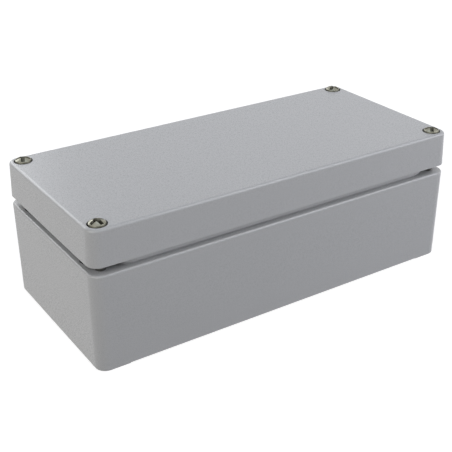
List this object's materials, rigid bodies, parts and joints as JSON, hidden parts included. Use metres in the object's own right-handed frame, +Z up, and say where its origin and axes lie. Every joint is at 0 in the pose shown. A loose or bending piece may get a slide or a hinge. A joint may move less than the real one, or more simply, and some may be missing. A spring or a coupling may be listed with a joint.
{
  "type": "die cast aluminium enclosure",
  "caption": "Sealed die cast aluminium box for electrical fittings, with a gasketed lid held down by captive cross-head screws at its corners.",
  "frame": {"origin": "middle of the plane that the two foot strips stand on", "axes": "+X along the box's length, +Y from its front to its back, +Z up through the lid"},
  "size_m": [0.175, 0.08, 0.0621],
  "materials": {
    "powder_coat": "cast aluminium under a satin silver-grey powder coat with a fine texture",
    "gasket_foam": "matt foamed-in polyurethane",
    "stainless_steel": "bright cold-headed steel",
    "nylon": "natural nylon",
    "plated_steel": "zinc plated"
  },
  "bodies": {
    "base": {"enclosure_base": "powder_coat", "base_earth_screw": "plated_steel", "base_earth_clamp": "plated_steel", "base_earth_lock_washer": "plated_steel"},
    "lid": {"enclosure_lid": "powder_coat", "lid_gasket": "gasket_foam", "lid_earth_screw": "plated_steel", "lid_earth_clamp": "plated_steel", "lid_earth_lock_washer": "plated_steel"},
    "retainer_front_left": {"screw_retainer_front_left": "nylon"},
    "screw_front_left": {"lid_screw_front_left": "stainless_steel"},
    "retainer_front_right": {"screw_retainer_front_right": "nylon"},
    "screw_front_right": {"lid_screw_front_right": "stainless_steel"},
    "retainer_back_left": {"screw_retainer_back_left": "nylon"},
    "screw_back_left": {"lid_screw_back_left": "stainless_steel"},
    "retainer_back_right": {"screw_retainer_back_right": "nylon"},
    "screw_back_right": {"lid_screw_back_right": "stainless_steel"}
  },
  "joints": [
    {"name": "lid_lift", "type": "slide", "parent": "base", "child": "lid", "axis": [0, 0, 1], "range_m": [0, 0.08]},
    {"name": "screw_front_left_lift", "type": "slide", "parent": "lid", "child": "retainer_front_left", "axis": [0, 0, 1], "range_m": [0, 0.0084]},
    {"name": "screw_front_left_turn", "type": "hinge", "parent": "retainer_front_left", "child": "screw_front_left", "pos_m": [-0.0815, -0.0343, 0.0576], "axis": [0, 0, 1], "range_deg": [0, 4320]},
    {"name": "screw_front_right_lift", "type": "slide", "parent": "lid", "child": "retainer_front_right", "axis": [0, 0, 1], "range_m": [0, 0.0084]},
    {"name": "screw_front_right_turn", "type": "hinge", "parent": "retainer_front_right", "child": "screw_front_right", "pos_m": [0.0815, -0.0343, 0.0576], "axis": [0, 0, 1], "range_deg": [0, 4320]},
    {"name": "screw_back_left_lift", "type": "slide", "parent": "lid", "child": "retainer_back_left", "axis": [0, 0, 1], "range_m": [0, 0.0084]},
    {"name": "screw_back_left_turn", "type": "hinge", "parent": "retainer_back_left", "child": "screw_back_left", "pos_m": [-0.0815, 0.0343, 0.0576], "axis": [0, 0, 1], "range_deg": [0, 4320]},
    {"name": "screw_back_right_lift", "type": "slide", "parent": "lid", "child": "retainer_back_right", "axis": [0, 0, 1], "range_m": [0, 0.0084]},
    {"name": "screw_back_right_turn", "type": "hinge", "parent": "retainer_back_right", "child": "screw_back_right", "pos_m": [0.0815, 0.0343, 0.0576], "axis": [0, 0, 1], "range_deg": [0, 4320]}
  ],
  "couplings": [
    {"joint": "screw_front_left_turn", "follows": "screw_front_left_lift", "rad_per_m": 8976},
    {"joint": "screw_front_right_turn", "follows": "screw_front_right_lift", "rad_per_m": 8976},
    {"joint": "screw_back_left_turn", "follows": "screw_back_left_lift", "rad_per_m": 8976},
    {"joint": "screw_back_right_turn", "follows": "screw_back_right_lift", "rad_per_m": 8976}
  ]
}
